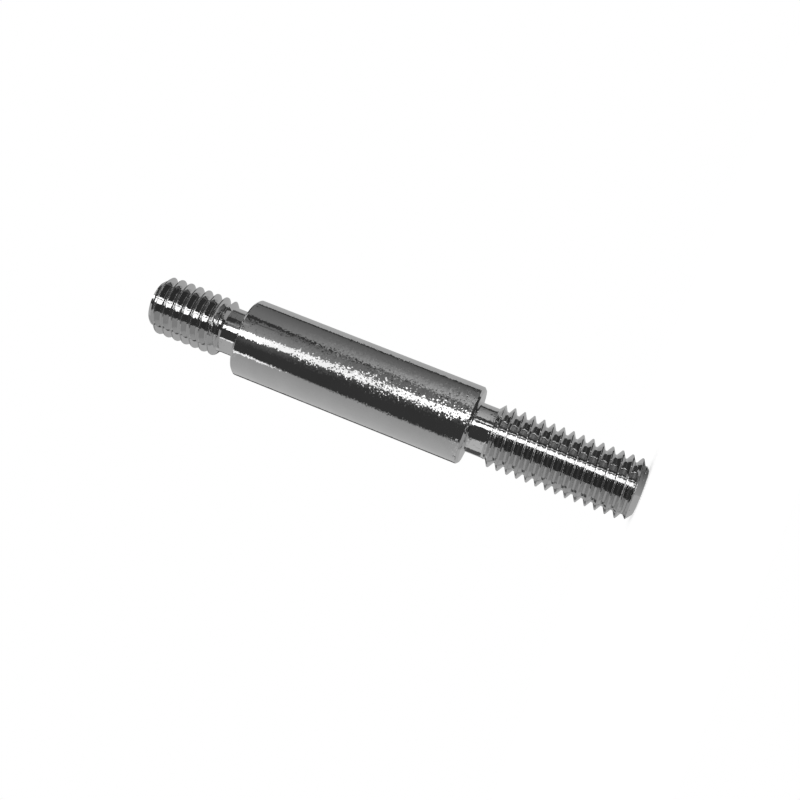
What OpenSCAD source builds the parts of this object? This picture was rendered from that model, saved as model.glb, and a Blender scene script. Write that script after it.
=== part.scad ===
/*
 Turned stud with a plain round body and a screw thread on each end.
 The stud stands on the flat face of its long end: the origin is the centre of that
 face and +Z runs along the stud's axis, through the body, to the short end.
*/

/* [Body] */
// Diameter of the plain body
body_d = 10; // [8.5:0.1:14]
// Length of the plain body, from shoulder to shoulder
body_l = 30.5; // [12:0.5:60]
// Width of the small bevel around each shoulder
body_bevel = 0.3; // [0.1:0.05:0.8]

/* [Thread] */
// Pitch, the rise of the thread in one turn
thread_pitch = 1.25; // [1:0.05:1.5]
// Angle between the two flanks of a groove
flank_angle = 60; // [50:1:70]
// Width of the flat along the top of the thread
crest_w = 0.14; // [0.1:0.01:0.2]
// Width of the flat along the bottom of the groove
root_w = 0.24; // [0.15:0.01:0.3]
// Slope of the bevel where each thread ends at its neck, measured from the axis
runout_angle = 50; // [30:1:60]
// Flat sides in one turn of the thread
sides_per_turn = 36; // [24:4:40]

/* [Long end] */
// Length of the long end, from its shoulder to its end face
long_l = 21.5; // [14:0.5:28]
// Diameter over the crests of the long thread
long_thread_d = 7.9; // [7.7:0.05:8.2]
// Length of the plain neck between the shoulder and the long thread
long_neck_l = 2.3; // [2.1:0.1:4]
// Diameter of that neck
long_neck_d = 6.36; // [5:0.02:6.36]
// Diameter of the flat face on the long end
long_face_d = 5.5; // [4:0.1:6]
// Length of the bevel between that face and the crests
long_lead_l = 0.9; // [0.5:0.1:1.5]
// Turn of the long thread about the axis
long_turn = 163; // [0:1:359]

/* [Short end] */
// Length of the short end, from its shoulder to its end face
short_l = 12.5; // [9:0.5:20]
// Diameter over the crests of the short thread
short_thread_d = 7.5; // [7.4:0.05:8]
// Length of the plain neck between the shoulder and the short thread
short_neck_l = 2.5; // [2.1:0.1:4]
// Diameter of that neck
short_neck_d = 5.96; // [5:0.02:5.96]
// Diameter of the flat face on the short end
short_face_d = 5.5; // [4:0.1:6]
// Length of the bevel between that face and the crests
short_lead_l = 1; // [0.5:0.1:1.5]
// Turn of the short thread about the axis
short_turn = 279; // [0:1:359]

/* [Hidden] */
chrome = [0.78, 0.78, 0.79];
round_fn = 96;

flank_w = (thread_pitch - crest_w - root_w) / 2;
thread_depth = flank_w / tan(flank_angle / 2);
long_thread_l = long_l - long_neck_l;
short_thread_l = short_l - short_neck_l;
long_shoulder_z = long_l;
short_shoulder_z = long_l + body_l;
stud_l = long_l + body_l + short_l;

// One tooth of the thread, as [height within the pitch, radius less the crest's], root to root
tooth = [
    [0, -thread_depth],
    [flank_w, 0],
    [flank_w + crest_w, 0],
    [2 * flank_w + crest_w, -thread_depth],
];
tooth_points = len(tooth);

function helix_point(step, corner, start_z, crest_r) =
    let (angle = 360 * step / sides_per_turn)
    let (radius = crest_r + tooth[corner][1])
    [
        radius * cos(angle),
        radius * sin(angle),
        start_z + thread_pitch * step / sides_per_turn + tooth[corner][0],
    ];

// Right-hand threaded bar, one pitch longer than needed at both ends. Row after row of
// tooth corners winds up the helix, and a fan of triangles closes each end.
module threaded_bar(length, crest_r) {
    turns = ceil(length / thread_pitch) + 3;
    steps = turns * sides_per_turn;
    start_z = -2 * thread_pitch;
    rows = [
        for (step = [0:steps], corner = [0:tooth_points - 1])
            helix_point(step, corner, start_z, crest_r)
    ];
    bottom = len(rows);
    top = bottom + 1;
    ends = [[0, 0, start_z], [0, 0, start_z + (turns + 1) * thread_pitch]];
    // The last corner of a tooth meets the first corner of the tooth one turn above it
    function at(step, corner) =
        corner < tooth_points
            ? step * tooth_points + corner
            : (step + sides_per_turn) * tooth_points;
    walls = [
        for (step = [0:steps - 1], corner = [0:tooth_points - 1])
            if (corner < tooth_points - 1 || step < steps - sides_per_turn)
                each [
                    [at(step, corner), at(step, corner + 1), at(step + 1, corner + 1)],
                    [at(step, corner), at(step + 1, corner + 1), at(step + 1, corner)],
                ]
    ];
    bottom_fan = [
        for (step = [0:sides_per_turn - 1])
            [bottom, at(step, 0), at(step + 1, 0)]
    ];
    bottom_step = [
        for (corner = [0:tooth_points - 1])
            [bottom, at(0, corner + 1), at(0, corner)]
    ];
    top_fan = [
        for (step = [steps - sides_per_turn:steps - 1])
            [top, at(step + 1, tooth_points - 1), at(step, tooth_points - 1)]
    ];
    last = steps - sides_per_turn;
    top_step = [
        [top, at(last, tooth_points - 1), at(steps, 0)],
        for (corner = [0:tooth_points - 2])
            [top, at(steps, corner), at(steps, corner + 1)],
    ];
    polyhedron(
        points = concat(rows, ends),
        faces = concat(walls, bottom_fan, bottom_step, top_fan, top_step)
    );
}

// Outline that a thread is cut to: the flat face, the bevel that leads onto the crests and
// the bevel down to the neck, which goes on inside the neck
module thread_limits(thread_l, crest_r, neck_r, face_r, lead_l) {
    clear_r = crest_r + thread_depth;
    inner_r = neck_r / 2;
    lead_slope = lead_l / (crest_r - face_r);
    runout_slope = 1 / tan(runout_angle);
    inner_z = thread_l + runout_slope * (neck_r - inner_r);
    rotate_extrude($fn = round_fn)
        polygon([
            [0, 0],
            [face_r, 0],
            [clear_r, lead_slope * (clear_r - face_r)],
            [clear_r, thread_l - runout_slope * (clear_r - neck_r)],
            [inner_r, inner_z],
            [0, inner_z],
        ]);
}

// The thread of one end, standing on its end face
module end_thread(thread_l, crest_d, neck_d, face_d, lead_l, turn) {
    intersection() {
        rotate([0, 0, turn]) threaded_bar(thread_l + neck_d / 2, crest_d / 2);
        thread_limits(thread_l, crest_d / 2, neck_d / 2, face_d / 2, lead_l);
    }
}

// Body and both necks, turned in one. Each neck goes on one pitch deep inside its thread.
module plain_bar() {
    body_r = body_d / 2;
    long_neck_r = long_neck_d / 2;
    short_neck_r = short_neck_d / 2;
    bar_bottom_z = long_thread_l - thread_pitch;
    bar_top_z = stud_l - short_thread_l + thread_pitch;
    rotate_extrude($fn = round_fn)
        polygon([
            [0, bar_bottom_z],
            [long_neck_r, bar_bottom_z],
            [long_neck_r, long_shoulder_z],
            [body_r - body_bevel, long_shoulder_z],
            [body_r, long_shoulder_z + body_bevel],
            [body_r, short_shoulder_z - body_bevel],
            [body_r - body_bevel, short_shoulder_z],
            [short_neck_r, short_shoulder_z],
            [short_neck_r, bar_top_z],
            [0, bar_top_z],
        ]);
}

module stud() {
    color(chrome) {
        plain_bar();
        end_thread(
            long_thread_l, long_thread_d, long_neck_d, long_face_d, long_lead_l, long_turn
        );
        translate([0, 0, stud_l]) rotate([180, 0, 0])
            end_thread(
                short_thread_l, short_thread_d, short_neck_d, short_face_d, short_lead_l, short_turn
            );
    }
}

stud();
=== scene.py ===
import math

import bmesh
import bpy
from mathutils import Matrix, Quaternion, Vector


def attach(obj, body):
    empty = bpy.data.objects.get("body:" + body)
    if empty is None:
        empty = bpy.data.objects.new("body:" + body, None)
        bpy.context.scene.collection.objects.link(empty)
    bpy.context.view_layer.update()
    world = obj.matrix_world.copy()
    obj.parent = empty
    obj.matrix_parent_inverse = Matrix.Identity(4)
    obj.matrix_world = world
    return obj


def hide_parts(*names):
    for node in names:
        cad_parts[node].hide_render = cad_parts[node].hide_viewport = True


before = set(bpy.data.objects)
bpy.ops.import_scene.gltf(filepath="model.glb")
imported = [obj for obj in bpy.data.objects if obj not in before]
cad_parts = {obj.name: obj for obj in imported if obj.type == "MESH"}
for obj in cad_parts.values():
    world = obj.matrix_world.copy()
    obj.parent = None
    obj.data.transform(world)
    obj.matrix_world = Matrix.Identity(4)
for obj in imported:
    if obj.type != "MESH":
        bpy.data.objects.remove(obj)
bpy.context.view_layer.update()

# The stud is one bar of free-cutting steel, turned down at both ends to a plain neck and a
# thread. The body between the two shoulders keeps the bar's full diameter, and its rims are
# broken by a small bevel. Corners carry the small radius that the tool and the plating leave.
COLUMNS = 128
LONG_END = 0.0215
SHORT_END = 0.0125
BODY_LENGTH = 0.0305
BODY_RADIUS = 0.005
BODY_BEVEL = 0.0003
LONG_NECK_RADIUS = 0.00318
SHORT_NECK_RADIUS = 0.00298
SHORT_SHOULDER = LONG_END + BODY_LENGTH
STUD_LENGTH = SHORT_SHOULDER + SHORT_END
WORN_EDGE = 0.00006
NECK_FILLET = 0.00022
SUPPORT = 0.00001


def rounded(corners, points=4):
    """Rounds each (radius, height, rounding) corner of an outline into a short arc."""
    outline = [Vector(corners[0][:2])]
    for before, corner, after in zip(corners, corners[1:], corners[2:]):
        middle = Vector(corner[:2])
        back = (Vector(before[:2]) - middle).normalized()
        ahead = (Vector(after[:2]) - middle).normalized()
        turning = math.pi - back.angle(ahead)
        run = corner[2] * math.tan(turning / 2)
        centre = middle + (back + ahead).normalized() * corner[2] / math.cos(turning / 2)
        outline.append(middle + back * (run + SUPPORT))
        from_centre = middle + back * run - centre
        side = 1 if back.x * ahead.y - back.y * ahead.x < 0 else -1
        for point in range(points + 1):
            swing = side * turning * point / points
            outline.append(centre + Matrix.Rotation(swing, 2) @ from_centre)
        outline.append(middle + ahead * (run + SUPPORT))
    outline.append(Vector(corners[-1][:2]))
    return outline


def turn_outline(mesh, outline):
    """Revolves an outline, given from the bottom up, into part of the bar's surface."""
    lower = None
    for radius, height in outline:
        upper = []
        for column in range(COLUMNS):
            angle = 2 * math.pi * column / COLUMNS
            spot = (radius * math.cos(angle), radius * math.sin(angle), height)
            upper.append(mesh.verts.new(spot))
        if lower:
            for column in range(COLUMNS):
                beside = (column + 1) % COLUMNS
                mesh.faces.new((lower[column], lower[beside], upper[beside], upper[column]))
        lower = upper


LONG_THREAD = 0.0192
SHORT_THREAD = 0.010
bar = rounded([
    (LONG_NECK_RADIUS, LONG_THREAD, 0),
    (LONG_NECK_RADIUS, LONG_END, NECK_FILLET),
    (BODY_RADIUS - BODY_BEVEL, LONG_END, WORN_EDGE),
    (BODY_RADIUS, LONG_END + BODY_BEVEL, WORN_EDGE),
    (BODY_RADIUS, SHORT_SHOULDER - BODY_BEVEL, WORN_EDGE),
    (BODY_RADIUS - BODY_BEVEL, SHORT_SHOULDER, WORN_EDGE),
    (SHORT_NECK_RADIUS, SHORT_SHOULDER, NECK_FILLET),
    (SHORT_NECK_RADIUS, STUD_LENGTH - SHORT_THREAD, 0),
])
# A ring close to each end of the outline keeps the necks' shading straight beside the threads
bar.insert(1, Vector((LONG_NECK_RADIUS, LONG_THREAD + SUPPORT)))
bar.insert(-1, Vector((SHORT_NECK_RADIUS, STUD_LENGTH - SHORT_THREAD - SUPPORT)))
stud_mesh = bmesh.new()
turn_outline(stud_mesh, bar)


# Each end carries a right-hand thread of one pitch, with 60 degree flanks and small flats at
# the crests and in the grooves. It is cut or rolled into the turned end. One bevel leads onto
# it from the flat end face, and another ends it at the neck.
PITCH = 0.00125
CREST_FLAT = 0.00014
GROOVE_FLAT = 0.00024
CREST_OFFSET = 0.000505
GROOVES_BELOW = 2
FLANK_RISE = math.tan(math.radians(60))
GROOVE_DEPTH = (PITCH - CREST_FLAT - GROOVE_FLAT) / 2 * FLANK_RISE
CREST_ROUNDING = 0.00006
GROOVE_ROUNDING = 0.00004
RUNOUT_RISE = math.tan(math.radians(50))
tooth = rounded([
    (-GROOVE_DEPTH, 0, 0),
    (-GROOVE_DEPTH, GROOVE_FLAT / 2, GROOVE_ROUNDING),
    (0, (PITCH - CREST_FLAT) / 2, CREST_ROUNDING),
    (0, (PITCH + CREST_FLAT) / 2, CREST_ROUNDING),
    (-GROOVE_DEPTH, PITCH - GROOVE_FLAT / 2, GROOVE_ROUNDING),
    (-GROOVE_DEPTH, PITCH, 0),
], points=3)


def tooth_top(rise):
    """How far the thread lies from its crest radius, at a height above a groove's middle."""
    within = rise % PITCH
    for lower, upper in zip(tooth, tooth[1:]):
        if within <= upper.y:
            part = (within - lower.y) / (upper.y - lower.y)
            return lower.x + (upper.x - lower.x) * part
    return -GROOVE_DEPTH


def add_thread(mesh, thread_length, crest, neck, face_radius, lead_length, turn, place):
    """One threaded end. Its rows follow the helix, so crests and grooves are true edges."""
    lead_rise = (crest - face_radius) / lead_length
    turns = math.ceil(thread_length / PITCH) + 2 * GROOVES_BELOW
    rows = [PITCH * number + point.y for number in range(turns) for point in tooth[:-1]]
    grid = []
    for column in range(COLUMNS + 1):
        angle = 2 * math.pi * column / COLUMNS
        groove = PITCH * (angle - turn) / (2 * math.pi) + CREST_OFFSET - PITCH / 2
        corners = []
        for row in rows:
            height = groove + row - PITCH * GROOVES_BELOW
            height = min(max(height, 0.0), thread_length)
            radius = min(
                crest + tooth_top(height - groove),
                face_radius + lead_rise * height,
                neck + RUNOUT_RISE * (thread_length - height),
            )
            corners.append(mesh.verts.new(place(angle, radius, height)))
        grid.append(corners)
    for near, far in zip(grid, grid[1:]):
        for row in range(len(rows) - 1):
            mesh.faces.new((near[row], far[row], far[row + 1], near[row + 1]))


def at_long_end(angle, radius, height):
    return (radius * math.cos(angle), radius * math.sin(angle), height)


def at_short_end(angle, radius, height):
    """The short end is the same shape turned over end for end, so its thread stays right-hand."""
    return (radius * math.cos(angle), -radius * math.sin(angle), STUD_LENGTH - height)


LONG_CREST_RADIUS = 0.00395
SHORT_CREST_RADIUS = 0.00375
FACE_RADIUS = 0.00275
LONG_LEAD = 0.0009
SHORT_LEAD = 0.001
LONG_TURN = math.radians(163)
SHORT_TURN = math.radians(279)
add_thread(
    stud_mesh, LONG_THREAD, LONG_CREST_RADIUS, LONG_NECK_RADIUS, FACE_RADIUS, LONG_LEAD,
    LONG_TURN, at_long_end,
)
add_thread(
    stud_mesh, SHORT_THREAD, SHORT_CREST_RADIUS, SHORT_NECK_RADIUS, FACE_RADIUS, SHORT_LEAD,
    SHORT_TURN, at_short_end,
)


# Both ends are faced off flat. The bar, both threads and both end faces are welded into one
# piece, as the stud is, and it stands for the solid of that name.
FACE_RINGS = (1.0, 0.97, 0.8, 0.55, 0.3, 0.1)
WELD = 2e-7
SHARP_ANGLE = math.radians(38)


def add_end_face(mesh, place):
    """The flat face of one end, in rings, so that its facing marks shade evenly."""
    rings = []
    for part in FACE_RINGS:
        corners = []
        for column in range(COLUMNS):
            angle = 2 * math.pi * column / COLUMNS
            corners.append(mesh.verts.new(place(angle, FACE_RADIUS * part, 0.0)))
        rings.append(corners)
    for outer, inner in zip(rings, rings[1:]):
        for column in range(COLUMNS):
            beside = (column + 1) % COLUMNS
            mesh.faces.new((outer[beside], outer[column], inner[column], inner[beside]))
    mesh.faces.new(list(reversed(rings[-1])))


add_end_face(stud_mesh, at_long_end)
add_end_face(stud_mesh, at_short_end)
bmesh.ops.remove_doubles(stud_mesh, verts=stud_mesh.verts, dist=WELD)
stud_data = bpy.data.meshes.new("stud_turned")
stud_mesh.to_mesh(stud_data)
stud_mesh.free()
stud_data.shade_smooth()
stud_data.set_sharp_from_angle(angle=SHARP_ANGLE)
stud = bpy.data.objects.new("stud_turned", stud_data)
bpy.context.scene.collection.objects.link(stud)
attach(stud, "root")
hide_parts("stud")


# The whole stud is polished and chrome plated. The plating is bright in the grooves and on
# the necks. It has a fine grain and small pits on the body, where it was handled, and faint
# facing rings show through it on both end faces.
chrome = bpy.data.materials.new("chrome_plating")
chrome.use_nodes = True
stud_data.materials.append(chrome)
nodes = chrome.node_tree.nodes
links = chrome.node_tree.links
plating = nodes["Principled BSDF"]
plating.inputs["Metallic"].default_value = 1.0


def add(kind, **settings):
    """A node of the material that is being made, with its settings and input values."""
    made = nodes.new(kind)
    for name, value in settings.items():
        if hasattr(made, name):
            setattr(made, name, value)
        else:
            made.inputs[name.replace("_", " ")].default_value = value
    return made


def worked_out(kind, operation, values):
    """The result of a Math or Vector Math node on outputs of other nodes and plain values."""
    made = add(kind, operation=operation)
    for value, socket in zip(values, made.inputs):
        if isinstance(value, bpy.types.NodeSocket):
            links.new(value, socket)
        else:
            socket.default_value = value
    return made.outputs["Value" if operation == "LENGTH" else 0]


def number(operation, *values):
    return worked_out("ShaderNodeMath", operation, values)


def vector(operation, *values):
    return worked_out("ShaderNodeVectorMath", operation, values)


def ramp(value, begin, end, at_begin=0.0, at_end=1.0, curve="LINEAR"):
    """A number that goes from one level to another while the value goes from begin to end."""
    made = add(
        "ShaderNodeMapRange", interpolation_type=curve,
        From_Min=begin, From_Max=end, To_Min=at_begin, To_Max=at_end,
    )
    links.new(value, made.inputs["Value"])
    return made.outputs["Result"]


def textured(kind, where, output, **settings):
    made = add(kind, **settings)
    links.new(where, made.inputs["Vector"])
    return made.outputs[output]


place = add("ShaderNodeTexCoord").outputs["Object"]
apart = add("ShaderNodeSeparateXYZ")
links.new(place, apart.inputs["Vector"])
across, away, along = apart.outputs["X"], apart.outputs["Y"], apart.outputs["Z"]
from_axis = vector("LENGTH", vector("MULTIPLY", place, (1.0, 1.0, 0.0)))

# The grain lies in patches on the body, most on its half nearer the long end, in front
cloud = textured("ShaderNodeTexNoise", place, "Fac", Scale=300.0, Detail=4.0, Roughness=0.65)
on_body = ramp(from_axis, 0.0046, 0.0049)
lower_half = ramp(along, 0.048, 0.037, at_begin=0.3, curve="SMOOTHSTEP")
in_front = ramp(away, -0.0030, -0.0046, at_begin=0.3)
towards_top = ramp(across, -0.0016, -0.0009, at_begin=0.3)
patchy = ramp(cloud, 0.35, 0.62, 0.55, 1.2)
grained = number("MULTIPLY", on_body, in_front)
for share in (lower_half, towards_top, patchy):
    grained = number("MULTIPLY", grained, share)
grain_level = number("MAXIMUM", grained, ramp(along, 0.0014, 0.0004, 0.15, 0.7))

# It is made of small uneven facets, most of them nearly flat and a few tilted strongly
GRAIN_TILT = (0.17, 0.17, 0.06)
ripple = textured("ShaderNodeTexNoise", place, "Color", Scale=5000.0, Detail=1.0)
uneven = vector("MULTIPLY_ADD", ripple, (0.0003, 0.0003, 0.0003), place)
facets = textured("ShaderNodeTexVoronoi", uneven, "Color", feature="F1", Scale=6000.0)
draw = vector("MULTIPLY_ADD", facets, (2.0, 2.0, 2.0), (-1.0, -1.0, -1.0))
cubed = vector("MULTIPLY", vector("MULTIPLY", draw, draw), draw)
facet_tilt = vector("MULTIPLY", vector("MULTIPLY", cubed, GRAIN_TILT), grain_level)
surface = add("ShaderNodeNewGeometry").outputs["Normal"]
grained_normal = vector("NORMALIZE", vector("ADD", surface, facet_tilt))

# Fine rings that facing left on both end faces
NEAR_FACE = 0.00002
RINGS_PER_METRE = 7000.0
from_middle = number("ABSOLUTE", number("SUBTRACT", along, STUD_LENGTH / 2))
on_face = number("GREATER_THAN", from_middle, STUD_LENGTH / 2 - NEAR_FACE)
rings = add("ShaderNodeTexNoise", noise_dimensions="1D", Scale=1.0, Detail=2.0)
links.new(number("MULTIPLY", from_axis, RINGS_PER_METRE), rings.inputs["W"])
facing = add("ShaderNodeBump", Strength=1.0, Distance=0.00002)
links.new(number("MULTIPLY", rings.outputs["Fac"], on_face), facing.inputs["Height"])
links.new(grained_normal, facing.inputs["Normal"])
links.new(facing.outputs["Normal"], plating.inputs["Normal"])

# Small dark pits, one in about every fifth cell, in a tone that is a little cloudy itself
PIT_TONE = 0.4
cells = add("ShaderNodeTexVoronoi", feature="F1", Scale=850.0)
links.new(place, cells.inputs["Vector"])
cell_draw = add("ShaderNodeSeparateColor")
links.new(cells.outputs["Color"], cell_draw.inputs["Color"])
pit_size = ramp(cell_draw.outputs["Red"], 0.82, 1.0, 0.0, 0.10)
pit = number("LESS_THAN", cells.outputs["Distance"], pit_size)
tone = add("ShaderNodeMix", data_type="FLOAT")
links.new(pit, tone.inputs["Factor"])
links.new(ramp(cloud, 0.3, 0.7, 0.72, 0.77), tone.inputs["A"])
tone.inputs["B"].default_value = PIT_TONE
shade = add("ShaderNodeCombineColor")
for channel in ("Red", "Green", "Blue"):
    links.new(tone.outputs["Result"], shade.inputs[channel])
links.new(shade.outputs["Color"], plating.inputs["Base Color"])
links.new(ramp(grain_level, 0.0, 1.2, 0.04, 0.08), plating.inputs["Roughness"])


# A small round floor of pale board carries the stud. It is seen as plain white, and it keeps
# the stud's own soft shadow.
FLOOR_RADIUS = 0.09
FLOOR_LIFT = 0.55
floor_mesh = bmesh.new()
bmesh.ops.create_circle(floor_mesh, cap_ends=True, segments=96, radius=FLOOR_RADIUS)
floor_data = bpy.data.meshes.new("floor")
floor_mesh.to_mesh(floor_data)
floor_mesh.free()
floor = bpy.data.objects.new("floor", floor_data)
bpy.context.scene.collection.objects.link(floor)

pale = bpy.data.materials.new("pale_floor")
pale.use_nodes = True
floor_data.materials.append(pale)
nodes = pale.node_tree.nodes
links = pale.node_tree.links
floor_paint = nodes["Principled BSDF"]
floor_paint.inputs["Base Color"].default_value = (0.8, 0.8, 0.8, 1.0)
floor_paint.inputs["Roughness"].default_value = 0.9
floor_paint.inputs["Specular IOR Level"].default_value = 0.0
floor_paint.inputs["Emission Color"].default_value = (1.0, 1.0, 1.0, 1.0)


def seen():
    """1 where the surface is seen, also in metal or through glass, and 0 where it gives light."""
    ray = add("ShaderNodeLightPath").outputs
    seen_or_mirrored = number("MAXIMUM", ray["Is Camera Ray"], ray["Is Glossy Ray"])
    return number("MAXIMUM", seen_or_mirrored, ray["Is Transmission Ray"])


links.new(number("MULTIPLY", seen(), FLOOR_LIFT), floor_paint.inputs["Emission Strength"])


# The backdrop all round is plain white to the eye, and lights the stud at a softer level, as
# white walls far behind the tent would.
SOFT_LIGHT = 0.6
world = bpy.data.worlds.new("backdrop")
bpy.context.scene.world = world
world.use_nodes = True
nodes = world.node_tree.nodes
links = world.node_tree.links
backdrop = nodes["Background"]
backdrop.inputs["Color"].default_value = (1.0, 1.0, 1.0, 1.0)
links.new(ramp(seen(), 0.0, 1.0, SOFT_LIGHT, 1.0), backdrop.inputs["Strength"])


# A tent stands round the stud, as a chrome bar is lit, and only the plating mirrors it. A soft
# strip box and plain cards hang before its wall and lie on its floor: black ones beside the
# highlight, grey ones above it and pale cloth below. None of them is lit and none lights
# anything. Each glows at a set level and gradient, which is painted light and shade standing in
# for lit and shaded cloth and cards, and the plating mirrors that painted light.
# Painted glow levels of the tent and its cards, where 1 is white: cloth and cards in light and in
# shade
BLACK = 0.04
DARK = 0.08
SHADE = 0.13
GREY = 0.18
MID_GREY = 0.35
PALE = 0.45
CLOTH_GLOW = 0.56
BRIGHT = 1.2
STRIP_BOX = 2.5
TENT_RADIUS = 0.35
BOX_RADIUS = 0.34
FOOT = 0.006
LAYER_GAP = 0.002
# Heights on the wall between which each part of the stud mirrors it
LOW = 0.0445
LONG_NECK = 0.0530
BODY = 0.16
SHORT_NECK = 0.17
TOP = 0.50
ROOF = 0.548
tent_mesh = bmesh.new()
glow = tent_mesh.verts.layers.float.new("glow")


def hang_card(stations, shades):
    """A curved card through its (radius, height, from, to) stations, turned in degrees from
    the camera's side. Its brightness is one number, or goes from one edge to the other."""
    if isinstance(shades, float):
        shades = [(shades, shades)] * len(stations)
    widest = max(end - begin for radius, height, begin, end in stations)
    steps = max(2, math.ceil(widest / 4))
    lower = None
    for (radius, height, begin, end), (near, far) in zip(stations, shades):
        upper = []
        for step in range(steps + 1):
            azimuth = math.radians(begin + (end - begin) * step / steps)
            spot = (radius * math.sin(azimuth), -radius * math.cos(azimuth), height)
            corner = tent_mesh.verts.new(spot)
            corner[glow] = near + (far - near) * step / steps
            upper.append(corner)
        if lower:
            for side in range(steps):
                tent_mesh.faces.new((lower[side], upper[side], upper[side + 1], lower[side + 1]))
        lower = upper


def wall_card(layer, edges, shades):
    """A card before the wall through (height, from, to) edges, from the lowest up."""
    radius = TENT_RADIUS - LAYER_GAP * layer
    hang_card([(radius, *edge) for edge in edges], shades)


def low_card(layer, begin, end, shade):
    """A low card, from the floor by the foot out to the wall and a little way up it."""
    radius = TENT_RADIUS - LAYER_GAP * layer
    height = 0.00005 + 0.00005 * layer
    stations = [(FOOT, height), (radius, height), (radius, LOW)]
    hang_card([(*station, begin, end) for station in stations], shade)


def flat_card(height, nearest, furthest, begin, end, shades):
    """A level card on the floor or under the roof, between two distances from the stud."""
    hang_card([(nearest, height, begin, end), (furthest, height, begin, end)], shades)


# The tent itself
hang_card([
    (0.0028, 0.00005, -180, 180), (TENT_RADIUS, 0.00005, -180, 180),
    (TENT_RADIUS, TOP, -180, 180), (0.18, 0.55, -180, 180), (0.0001, 0.55, -180, 180),
], PALE)
# The strip box leans, is dimmer in its middle, and is parted by a bar near its top
strip_edges = [
    (0.0002, 10.5, 27), (0.038, 10.5, 26), (LOW, 11.5, 22.5), (0.0525, 11.5, 22.5),
    (0.0535, 8, 22.5), (0.09, 3, 21), (0.146, -1.5, 14.5), (0.159, -4.5, 12.5),
    (BODY, -3, 15.5), (0.167, -3, 15.5),
]
strip_shades = [STRIP_BOX] * 6 + [BRIGHT] * 2 + [STRIP_BOX] * 3
hang_card(
    [(FOOT, 0.0002, 10.5, 27)] + [(BOX_RADIUS, *edge) for edge in strip_edges],
    [(shade_here, shade_here) for shade_here in strip_shades],
)
hang_card([(BOX_RADIUS, 0.215, -7, 13), (BOX_RADIUS, TOP, -8, 13)], STRIP_BOX)
hang_card([(BOX_RADIUS, 0.215, 18, 24), (BOX_RADIUS, TOP, 18, 24)], STRIP_BOX)
# Black card below the highlight, with painted soft edges: its glow fades from grey to black away
# from the highlight and away from its lower edge
low_card(1, -48, 14, BLACK)
wall_card(1, [(LOW, -50, 14), (LONG_NECK, -51, 14)], BLACK)
wall_card(1, [(LONG_NECK, -57, -8), (0.11, -53, -14), (BODY, -48, -25)], BLACK)
wall_card(1, [(LONG_NECK, -8, 14), (0.11, -14, 14), (BODY, -25, 14)], [(BLACK, GREY)] * 3)
wall_card(1, [
    (LONG_NECK, -62, -57), (0.11, -58, -53), (BODY, -53, -48),
], [(MID_GREY, BLACK)] * 3)
wall_card(1, [(BODY, -48, 14), (SHORT_NECK, -48, 14), (0.24, -46, 14), (TOP, -46, 14)], BLACK)
# Grey cards above it, parted by black ones; their glow is painted lighter at the edge towards the
# highlight, as if lit from that side
wall_card(1, [
    (LONG_NECK, 14, 52), (0.08, 14, 54), (BODY, 14, 57),
], [(GREY, SHADE), (GREY, SHADE), (MID_GREY, SHADE)])
wall_card(1, [
    (LONG_NECK, 52, 85), (0.08, 54, 85), (BODY, 57, 85),
], [(CLOTH_GLOW, GREY), (PALE, GREY), (GREY, GREY)])
wall_card(1, [(LONG_NECK, 85, 118), (BODY, 85, 118)], [(GREY, DARK), (GREY, SHADE)])
wall_card(2, [(0.085, 50.5, 51), (0.11, 49, 54), (BODY, 54.5, 66)], BLACK)
wall_card(2, [(0.12, 45, 45.5), (BODY, 43.5, 46.5)], DARK)
wall_card(1, [(LONG_NECK, 116, 124), (BODY, 116, 124)], BLACK)
# Cloth below it, in painted shade: darker towards the black card, and a dark card at the back
# paints a thin shadow line
wall_card(1, [
    (LONG_NECK, -156, -62), (0.11, -156, -58), (BODY, -156, -53),
], [(CLOTH_GLOW, MID_GREY)] * 3)
wall_card(2, [(LONG_NECK, -180, -151), (SHORT_NECK, -180, -151)], DARK)
# Cards for the short neck
wall_card(1, [(BODY, 14, 118), (SHORT_NECK, 14, 118)], GREY)
wall_card(2, [(BODY, 40, 63), (SHORT_NECK, 40, 63)], BLACK)
wall_card(2, [(BODY, 28, 35), (SHORT_NECK, 28, 35)], MID_GREY)
wall_card(2, [(BODY, 104, 110), (SHORT_NECK, 104, 110)], BLACK)
wall_card(2, [(0.14, -56.5, -52.5), (SHORT_NECK, -54, -48)], BRIGHT)
# Cards for the short thread
wall_card(1, [(SHORT_NECK, 14, 118), (0.24, 14, 100), (0.25, 14, 92), (TOP, 14, 88)], BLACK)
wall_card(1, [(SHORT_NECK, -150, -48), (TOP, -150, -46)], MID_GREY)
# Cards for the long thread, with two bright tubes
low_card(1, 20, 45, BLACK)
low_card(2, 32.5, 36, BRIGHT)
low_card(1, 45, 68, GREY)
low_card(2, 73, 76, BRIGHT)
low_card(1, 68, 122, BLACK)
low_card(1, -110, -48, MID_GREY)
# Two dark cards paint shade into the lower grooves of the long thread
flat_card(0.0002, 0.012, 0.0195, -150, -105, DARK)
hang_card([
    (0.05, 0.0001, -133, -110), (0.348, 0.0001, -133, -110), (0.348, LOW, -133, -110),
], DARK)
# Cards for the long neck
wall_card(1, [(LOW, 14, 51), (LONG_NECK, 14, 51)], BLACK)
wall_card(2, [(LOW, 32, 37), (LONG_NECK, 32, 37)], BRIGHT)
wall_card(1, [(LOW, 51, 106), (LONG_NECK, 51, 106)], [(CLOTH_GLOW, GREY)] * 2)
wall_card(1, [(LOW, 106, 118), (LONG_NECK, 106, 118)], BLACK)
# A dark card paints shade along the long neck's lower edge
wall_card(1, [(LOW, -153, -110), (LONG_NECK, -153, -110)], DARK)
wall_card(1, [(LOW, -110, -50), (LONG_NECK, -110, -51)], CLOTH_GLOW)
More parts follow.
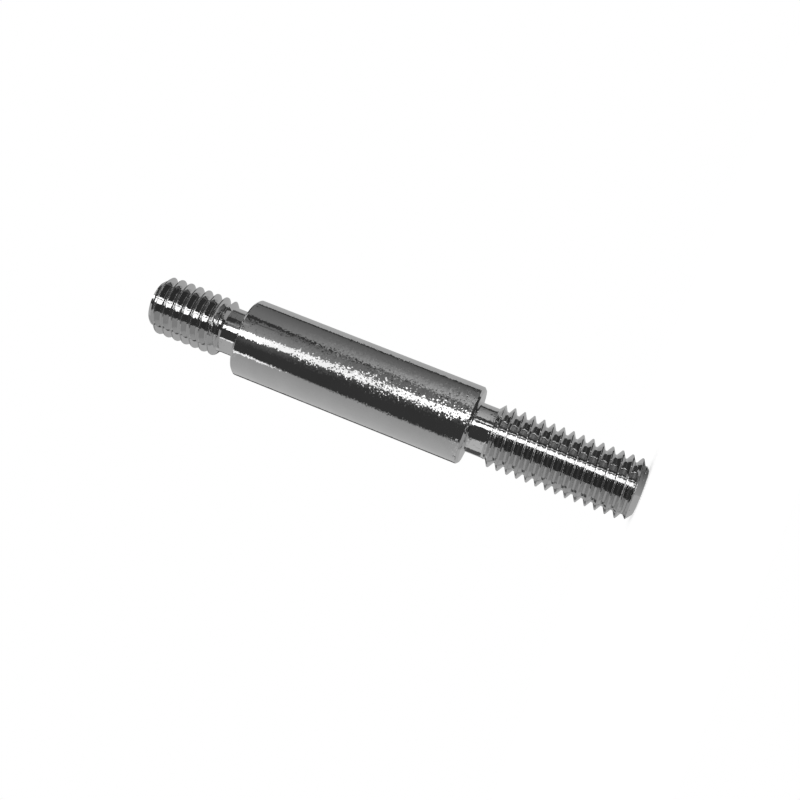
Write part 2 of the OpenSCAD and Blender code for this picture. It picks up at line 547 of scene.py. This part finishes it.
# A low card closes the gap behind the stud. Cards by its foot and under the roof draw the rims
# of both shoulders and the bevels of both ends.
BY_THE_WALL = TENT_RADIUS - 0.006
hang_card([(BY_THE_WALL, -0.03, 170, 190), (BY_THE_WALL, 0.022, 170, 190)], PALE)
flat_card(0.0003, 0.0058, 0.016, 12, 165, BLACK)
flat_card(0.0001, 0.0028, 0.0052, -8, 60, [(MID_GREY, DARK)] * 2)
flat_card(0.0001, 0.0028, 0.0052, 60, 130, SHADE)
flat_card(ROOF, 0.115, 0.30, 40, 120, BLACK)
flat_card(ROOF, 0.13, BY_THE_WALL, 144, 161, BLACK)
hang_card([(BY_THE_WALL, 0.26, 144, 172), (BY_THE_WALL, ROOF, 144, 172)], BLACK)
flat_card(ROOF, 0.10, 0.25, 184, 214, BLACK)
flat_card(ROOF, 0.115, 0.20, 162, 182, STRIP_BOX)
flat_card(0.546, 0.0002, 0.11, -180, 180, BLACK)
tent_data = bpy.data.meshes.new("tent")
tent_mesh.to_mesh(tent_data)
tent_mesh.free()
tent = bpy.data.objects.new("tent", tent_data)
bpy.context.scene.collection.objects.link(tent)
tent.visible_camera = False
tent.visible_diffuse = False
tent.visible_shadow = False

# The cards' material is a glow alone, at the painted level of each corner: painted light and
# shade that lights nothing
card = bpy.data.materials.new("glowing_card")
card.use_nodes = True
tent_data.materials.append(card)
nodes = card.node_tree.nodes
links = card.node_tree.links
nodes.clear()
card_glow = add("ShaderNodeAttribute", attribute_name="glow")
card_light = add("ShaderNodeEmission")
card_out = add("ShaderNodeOutputMaterial")
links.new(card_glow.outputs["Fac"], card_light.inputs["Strength"])
links.new(card_light.outputs["Emission"], card_out.inputs["Surface"])


# A soft strip lamp leans on the camera's side, beside the strip box. It lights the floor, so
# that the stud throws its soft shadow there, and the plating doesn't mirror it.
LAMP_AZIMUTH = math.radians(11)
LAMP_DISTANCE = 0.335
LAMP_HEIGHT = 0.08
LAMP_WIDTH = 0.078
LAMP_LENGTH = 0.56
LAMP_BRIGHTNESS = 4.0
LAMP_LEAN = math.radians(24)
strip = bpy.data.lights.new("strip_lamp", "AREA")
strip.shape = "RECTANGLE"
strip.size = LAMP_WIDTH
strip.size_y = LAMP_LENGTH
strip.energy = LAMP_BRIGHTNESS * math.pi * LAMP_WIDTH * LAMP_LENGTH
strip_lamp = bpy.data.objects.new("strip_lamp", strip)
bpy.context.scene.collection.objects.link(strip_lamp)
strip_lamp.location = (
    LAMP_DISTANCE * math.sin(LAMP_AZIMUTH),
    -LAMP_DISTANCE * math.cos(LAMP_AZIMUTH),
    LAMP_HEIGHT,
)
towards_stud = Vector((0, 0, LAMP_HEIGHT)) - strip_lamp.location
strip_lamp.rotation_mode = "QUATERNION"
lamp_turn = towards_stud.to_track_quat("-Z", "Y")
strip_lamp.rotation_quaternion = lamp_turn @ Quaternion((0, 0, 1), LAMP_LEAN)
strip_lamp.visible_camera = False
strip_lamp.visible_glossy = False


# The camera looks at the stud from the side, a little from its long end, and is rolled so that
# the stud lies across the picture.
CAMERA_PLACE = Vector((0.0, -0.13906, 0.00904))
CAMERA_AIM = Vector((-0.000275, 0.0, 0.031005))
CAMERA_ROLL = math.radians(-68.37)
lens = bpy.data.cameras.new("camera")
lens.sensor_width = 36.0
lens.lens = 51.56
lens.clip_start = 0.01
camera = bpy.data.objects.new("camera", lens)
bpy.context.scene.collection.objects.link(camera)
camera.location = CAMERA_PLACE
looking = (CAMERA_AIM - CAMERA_PLACE).to_track_quat("-Z", "Y")
camera.rotation_mode = "QUATERNION"
camera.rotation_quaternion = looking @ Quaternion((0, 0, 1), CAMERA_ROLL)
bpy.context.scene.camera = camera
bpy.context.scene.view_settings.view_transform = "Standard"
